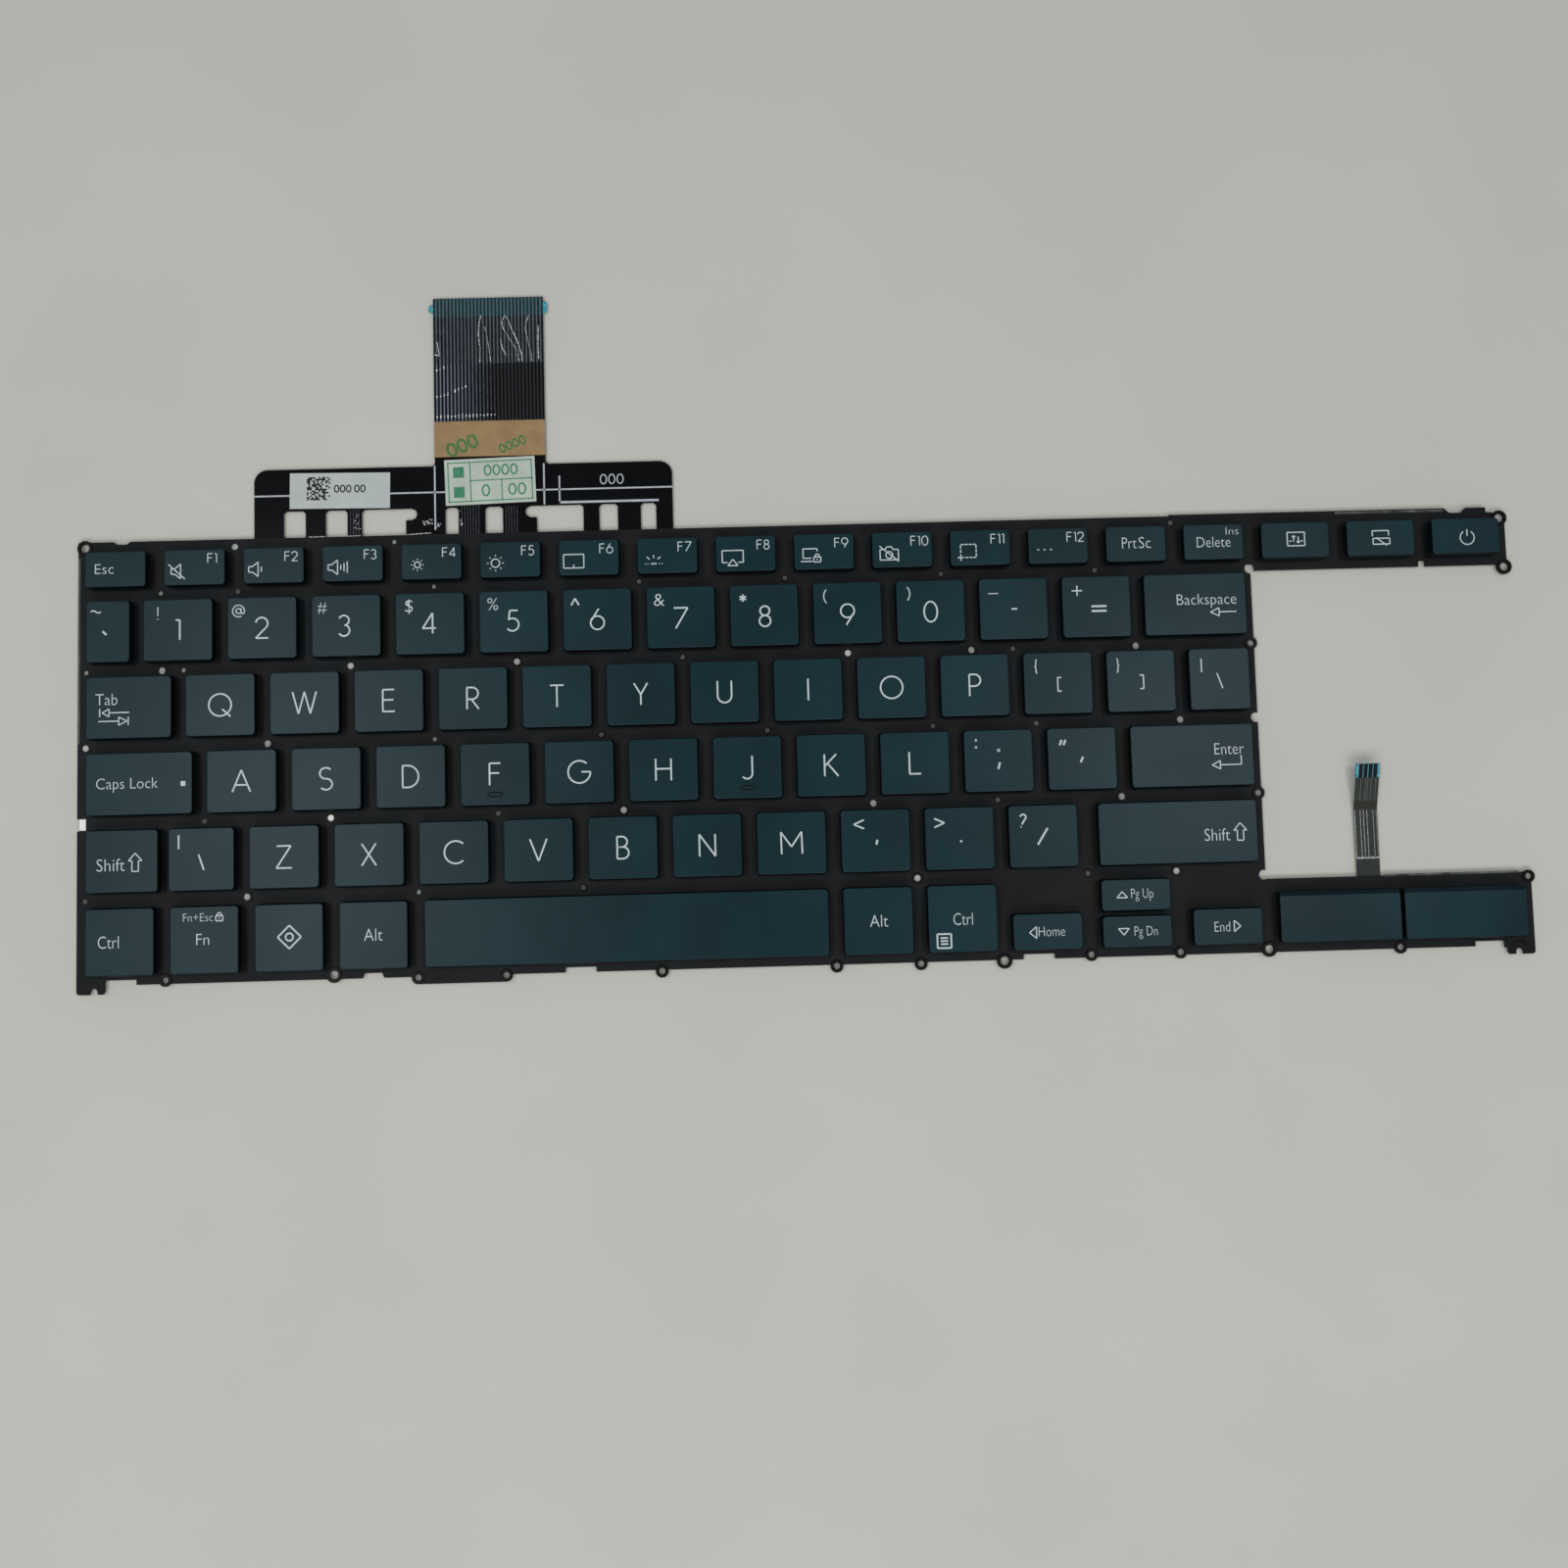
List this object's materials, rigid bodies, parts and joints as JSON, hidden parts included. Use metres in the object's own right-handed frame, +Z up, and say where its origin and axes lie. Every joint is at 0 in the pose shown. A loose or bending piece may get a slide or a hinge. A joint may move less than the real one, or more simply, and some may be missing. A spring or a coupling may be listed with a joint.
{
  "type": "laptop replacement keyboard",
  "caption": "Flat laptop keyboard module: low caps on a holed steel plate, two arms round a touchpad bay with pointer buttons, a film apron with a long ribbon tail.",
  "frame": {"origin": "middle of the bounding box, on the underside of the rear film", "axes": "+X along the key rows to the right, +Y from the space bar to the function row and the tail, +Z up through the key tops"},
  "size_m": [0.318, 0.1524, 0.0049],
  "materials": {
    "key_cap": "matt, lightly textured",
    "plate_paint": "matt black coating on steel",
    "circuit_film": "glossy printed film",
    "light_guide": "clear",
    "rear_film": "white reflector film",
    "dome_rubber": "matt",
    "link_plastic": "moulded",
    "bar_steel": "drawn wire",
    "stiffener": "satin blue film",
    "liner": "matt tan tape",
    "label_paper": "matt label stock"
  },
  "bodies": {
    "chassis": {"base_plate": "plate_paint", "membrane_sheet": "circuit_film", "light_guide": "light_guide", "rear_film": "rear_film", "rubber_domes": "dome_rubber", "scissor_links": "link_plastic", "stabiliser_bars": "bar_steel", "ribbon_stiffeners": "stiffener", "ribbon_liner": "liner", "code_label": "label_paper", "date_label": "label_paper", "button_ribbon": "circuit_film", "function_row_keys": "key_cap", "symbol_keys": "key_cap", "command_keys": "key_cap"},
    "key_q": {"key_q": "key_cap"},
    "key_w": {"key_w": "key_cap"},
    "key_e": {"key_e": "key_cap"},
    "key_r": {"key_r": "key_cap"},
    "key_t": {"key_t": "key_cap"},
    "key_y": {"key_y": "key_cap"},
    "key_u": {"key_u": "key_cap"},
    "key_i": {"key_i": "key_cap"},
    "key_o": {"key_o": "key_cap"},
    "key_p": {"key_p": "key_cap"},
    "key_a": {"key_a": "key_cap"},
    "key_s": {"key_s": "key_cap"},
    "key_d": {"key_d": "key_cap"},
    "key_f": {"key_f": "key_cap"},
    "key_g": {"key_g": "key_cap"},
    "key_h": {"key_h": "key_cap"},
    "key_j": {"key_j": "key_cap"},
    "key_k": {"key_k": "key_cap"},
    "key_l": {"key_l": "key_cap"},
    "key_z": {"key_z": "key_cap"},
    "key_x": {"key_x": "key_cap"},
    "key_c": {"key_c": "key_cap"},
    "key_v": {"key_v": "key_cap"},
    "key_b": {"key_b": "key_cap"},
    "key_n": {"key_n": "key_cap"},
    "key_m": {"key_m": "key_cap"},
    "key_1": {"key_1": "key_cap"},
    "key_2": {"key_2": "key_cap"},
    "key_3": {"key_3": "key_cap"},
    "key_4": {"key_4": "key_cap"},
    "key_5": {"key_5": "key_cap"},
    "key_6": {"key_6": "key_cap"},
    "key_7": {"key_7": "key_cap"},
    "key_8": {"key_8": "key_cap"},
    "key_9": {"key_9": "key_cap"},
    "key_0": {"key_0": "key_cap"},
    "key_backspace": {"key_backspace": "key_cap"},
    "key_tab": {"key_tab": "key_cap"},
    "key_caps_lock": {"key_caps_lock": "key_cap"},
    "key_enter": {"key_enter": "key_cap"},
    "key_shift_left": {"key_shift_left": "key_cap"},
    "key_shift_right": {"key_shift_right": "key_cap"},
    "key_space": {"key_space": "key_cap"},
    "button_left": {"button_left": "key_cap"},
    "button_right": {"button_right": "key_cap"}
  },
  "joints": [
    {"name": "press_q", "type": "slide", "parent": "chassis", "child": "key_q", "axis": [0, 0, -1], "range_m": [0, 0.0014], "stiffness_N_per_m": 200, "springref_m": -0.0015, "deforming": ["rubber_domes", "scissor_links"]},
    {"name": "press_w", "type": "slide", "parent": "chassis", "child": "key_w", "axis": [0, 0, -1], "range_m": [0, 0.0014], "stiffness_N_per_m": 200, "springref_m": -0.0015, "deforming": ["rubber_domes", "scissor_links"]},
    {"name": "press_e", "type": "slide", "parent": "chassis", "child": "key_e", "axis": [0, 0, -1], "range_m": [0, 0.0014], "stiffness_N_per_m": 200, "springref_m": -0.0015, "deforming": ["rubber_domes", "scissor_links"]},
    {"name": "press_r", "type": "slide", "parent": "chassis", "child": "key_r", "axis": [0, 0, -1], "range_m": [0, 0.0014], "stiffness_N_per_m": 200, "springref_m": -0.0015, "deforming": ["rubber_domes", "scissor_links"]},
    {"name": "press_t", "type": "slide", "parent": "chassis", "child": "key_t", "axis": [0, 0, -1], "range_m": [0, 0.0014], "stiffness_N_per_m": 200, "springref_m": -0.0015, "deforming": ["rubber_domes", "scissor_links"]},
    {"name": "press_y", "type": "slide", "parent": "chassis", "child": "key_y", "axis": [0, 0, -1], "range_m": [0, 0.0014], "stiffness_N_per_m": 200, "springref_m": -0.0015, "deforming": ["rubber_domes", "scissor_links"]},
    {"name": "press_u", "type": "slide", "parent": "chassis", "child": "key_u", "axis": [0, 0, -1], "range_m": [0, 0.0014], "stiffness_N_per_m": 200, "springref_m": -0.0015, "deforming": ["rubber_domes", "scissor_links"]},
    {"name": "press_i", "type": "slide", "parent": "chassis", "child": "key_i", "axis": [0, 0, -1], "range_m": [0, 0.0014], "stiffness_N_per_m": 200, "springref_m": -0.0015, "deforming": ["rubber_domes", "scissor_links"]},
    {"name": "press_o", "type": "slide", "parent": "chassis", "child": "key_o", "axis": [0, 0, -1], "range_m": [0, 0.0014], "stiffness_N_per_m": 200, "springref_m": -0.0015, "deforming": ["rubber_domes", "scissor_links"]},
    {"name": "press_p", "type": "slide", "parent": "chassis", "child": "key_p", "axis": [0, 0, -1], "range_m": [0, 0.0014], "stiffness_N_per_m": 200, "springref_m": -0.0015, "deforming": ["rubber_domes", "scissor_links"]},
    {"name": "press_a", "type": "slide", "parent": "chassis", "child": "key_a", "axis": [0, 0, -1], "range_m": [0, 0.0014], "stiffness_N_per_m": 200, "springref_m": -0.0015, "deforming": ["rubber_domes", "scissor_links"]},
    {"name": "press_s", "type": "slide", "parent": "chassis", "child": "key_s", "axis": [0, 0, -1], "range_m": [0, 0.0014], "stiffness_N_per_m": 200, "springref_m": -0.0015, "deforming": ["rubber_domes", "scissor_links"]},
    {"name": "press_d", "type": "slide", "parent": "chassis", "child": "key_d", "axis": [0, 0, -1], "range_m": [0, 0.0014], "stiffness_N_per_m": 200, "springref_m": -0.0015, "deforming": ["rubber_domes", "scissor_links"]},
    {"name": "press_f", "type": "slide", "parent": "chassis", "child": "key_f", "axis": [0, 0, -1], "range_m": [0, 0.0014], "stiffness_N_per_m": 200, "springref_m": -0.0015, "deforming": ["rubber_domes", "scissor_links"]},
    {"name": "press_g", "type": "slide", "parent": "chassis", "child": "key_g", "axis": [0, 0, -1], "range_m": [0, 0.0014], "stiffness_N_per_m": 200, "springref_m": -0.0015, "deforming": ["rubber_domes", "scissor_links"]},
    {"name": "press_h", "type": "slide", "parent": "chassis", "child": "key_h", "axis": [0, 0, -1], "range_m": [0, 0.0014], "stiffness_N_per_m": 200, "springref_m": -0.0015, "deforming": ["rubber_domes", "scissor_links"]},
    {"name": "press_j", "type": "slide", "parent": "chassis", "child": "key_j", "axis": [0, 0, -1], "range_m": [0, 0.0014], "stiffness_N_per_m": 200, "springref_m": -0.0015, "deforming": ["rubber_domes", "scissor_links"]},
    {"name": "press_k", "type": "slide", "parent": "chassis", "child": "key_k", "axis": [0, 0, -1], "range_m": [0, 0.0014], "stiffness_N_per_m": 200, "springref_m": -0.0015, "deforming": ["rubber_domes", "scissor_links"]},
    {"name": "press_l", "type": "slide", "parent": "chassis", "child": "key_l", "axis": [0, 0, -1], "range_m": [0, 0.0014], "stiffness_N_per_m": 200, "springref_m": -0.0015, "deforming": ["rubber_domes", "scissor_links"]},
    {"name": "press_z", "type": "slide", "parent": "chassis", "child": "key_z", "axis": [0, 0, -1], "range_m": [0, 0.0014], "stiffness_N_per_m": 200, "springref_m": -0.0015, "deforming": ["rubber_domes", "scissor_links"]},
    {"name": "press_x", "type": "slide", "parent": "chassis", "child": "key_x", "axis": [0, 0, -1], "range_m": [0, 0.0014], "stiffness_N_per_m": 200, "springref_m": -0.0015, "deforming": ["rubber_domes", "scissor_links"]},
    {"name": "press_c", "type": "slide", "parent": "chassis", "child": "key_c", "axis": [0, 0, -1], "range_m": [0, 0.0014], "stiffness_N_per_m": 200, "springref_m": -0.0015, "deforming": ["rubber_domes", "scissor_links"]},
    {"name": "press_v", "type": "slide", "parent": "chassis", "child": "key_v", "axis": [0, 0, -1], "range_m": [0, 0.0014], "stiffness_N_per_m": 200, "springref_m": -0.0015, "deforming": ["rubber_domes", "scissor_links"]},
    {"name": "press_b", "type": "slide", "parent": "chassis", "child": "key_b", "axis": [0, 0, -1], "range_m": [0, 0.0014], "stiffness_N_per_m": 200, "springref_m": -0.0015, "deforming": ["rubber_domes", "scissor_links"]},
    {"name": "press_n", "type": "slide", "parent": "chassis", "child": "key_n", "axis": [0, 0, -1], "range_m": [0, 0.0014], "stiffness_N_per_m": 200, "springref_m": -0.0015, "deforming": ["rubber_domes", "scissor_links"]},
    {"name": "press_m", "type": "slide", "parent": "chassis", "child": "key_m", "axis": [0, 0, -1], "range_m": [0, 0.0014], "stiffness_N_per_m": 200, "springref_m": -0.0015, "deforming": ["rubber_domes", "scissor_links"]},
    {"name": "press_1", "type": "slide", "parent": "chassis", "child": "key_1", "axis": [0, 0, -1], "range_m": [0, 0.0014], "stiffness_N_per_m": 200, "springref_m": -0.0015, "deforming": ["rubber_domes", "scissor_links"]},
    {"name": "press_2", "type": "slide", "parent": "chassis", "child": "key_2", "axis": [0, 0, -1], "range_m": [0, 0.0014], "stiffness_N_per_m": 200, "springref_m": -0.0015, "deforming": ["rubber_domes", "scissor_links"]},
    {"name": "press_3", "type": "slide", "parent": "chassis", "child": "key_3", "axis": [0, 0, -1], "range_m": [0, 0.0014], "stiffness_N_per_m": 200, "springref_m": -0.0015, "deforming": ["rubber_domes", "scissor_links"]},
    {"name": "press_4", "type": "slide", "parent": "chassis", "child": "key_4", "axis": [0, 0, -1], "range_m": [0, 0.0014], "stiffness_N_per_m": 200, "springref_m": -0.0015, "deforming": ["rubber_domes", "scissor_links"]},
    {"name": "press_5", "type": "slide", "parent": "chassis", "child": "key_5", "axis": [0, 0, -1], "range_m": [0, 0.0014], "stiffness_N_per_m": 200, "springref_m": -0.0015, "deforming": ["rubber_domes", "scissor_links"]},
    {"name": "press_6", "type": "slide", "parent": "chassis", "child": "key_6", "axis": [0, 0, -1], "range_m": [0, 0.0014], "stiffness_N_per_m": 200, "springref_m": -0.0015, "deforming": ["rubber_domes", "scissor_links"]},
    {"name": "press_7", "type": "slide", "parent": "chassis", "child": "key_7", "axis": [0, 0, -1], "range_m": [0, 0.0014], "stiffness_N_per_m": 200, "springref_m": -0.0015, "deforming": ["rubber_domes", "scissor_links"]},
    {"name": "press_8", "type": "slide", "parent": "chassis", "child": "key_8", "axis": [0, 0, -1], "range_m": [0, 0.0014], "stiffness_N_per_m": 200, "springref_m": -0.0015, "deforming": ["rubber_domes", "scissor_links"]},
    {"name": "press_9", "type": "slide", "parent": "chassis", "child": "key_9", "axis": [0, 0, -1], "range_m": [0, 0.0014], "stiffness_N_per_m": 200, "springref_m": -0.0015, "deforming": ["rubber_domes", "scissor_links"]},
    {"name": "press_0", "type": "slide", "parent": "chassis", "child": "key_0", "axis": [0, 0, -1], "range_m": [0, 0.0014], "stiffness_N_per_m": 200, "springref_m": -0.0015, "deforming": ["rubber_domes", "scissor_links"]},
    {"name": "press_backspace", "type": "slide", "parent": "chassis", "child": "key_backspace", "axis": [0, 0, -1], "range_m": [0, 0.0014], "stiffness_N_per_m": 200, "springref_m": -0.0015, "deforming": ["rubber_domes", "scissor_links"]},
    {"name": "press_tab", "type": "slide", "parent": "chassis", "child": "key_tab", "axis": [0, 0, -1], "range_m": [0, 0.0014], "stiffness_N_per_m": 200, "springref_m": -0.0015, "deforming": ["rubber_domes", "scissor_links"]},
    {"name": "press_caps_lock", "type": "slide", "parent": "chassis", "child": "key_caps_lock", "axis": [0, 0, -1], "range_m": [0, 0.0014], "stiffness_N_per_m": 200, "springref_m": -0.0015, "deforming": ["rubber_domes", "scissor_links"]},
    {"name": "press_enter", "type": "slide", "parent": "chassis", "child": "key_enter", "axis": [0, 0, -1], "range_m": [0, 0.0014], "stiffness_N_per_m": 200, "springref_m": -0.0015, "deforming": ["rubber_domes", "scissor_links"]},
    {"name": "press_shift_left", "type": "slide", "parent": "chassis", "child": "key_shift_left", "axis": [0, 0, -1], "range_m": [0, 0.0014], "stiffness_N_per_m": 200, "springref_m": -0.0015, "deforming": ["rubber_domes", "scissor_links"]},
    {"name": "press_shift_right", "type": "slide", "parent": "chassis", "child": "key_shift_right", "axis": [0, 0, -1], "range_m": [0, 0.0014], "stiffness_N_per_m": 200, "springref_m": -0.0015, "deforming": ["rubber_domes", "scissor_links"]},
    {"name": "press_space", "type": "slide", "parent": "chassis", "child": "key_space", "axis": [0, 0, -1], "range_m": [0, 0.0014], "stiffness_N_per_m": 200, "springref_m": -0.0015, "deforming": ["rubber_domes", "scissor_links"]},
    {"name": "press_button_left", "type": "slide", "parent": "chassis", "child": "button_left", "axis": [0, 0, -1], "range_m": [0, 0.0008], "stiffness_N_per_m": 300, "springref_m": -0.001, "deforming": ["rubber_domes"]},
    {"name": "press_button_right", "type": "slide", "parent": "chassis", "child": "button_right", "axis": [0, 0, -1], "range_m": [0, 0.0008], "stiffness_N_per_m": 300, "springref_m": -0.001, "deforming": ["rubber_domes"]}
  ]
}
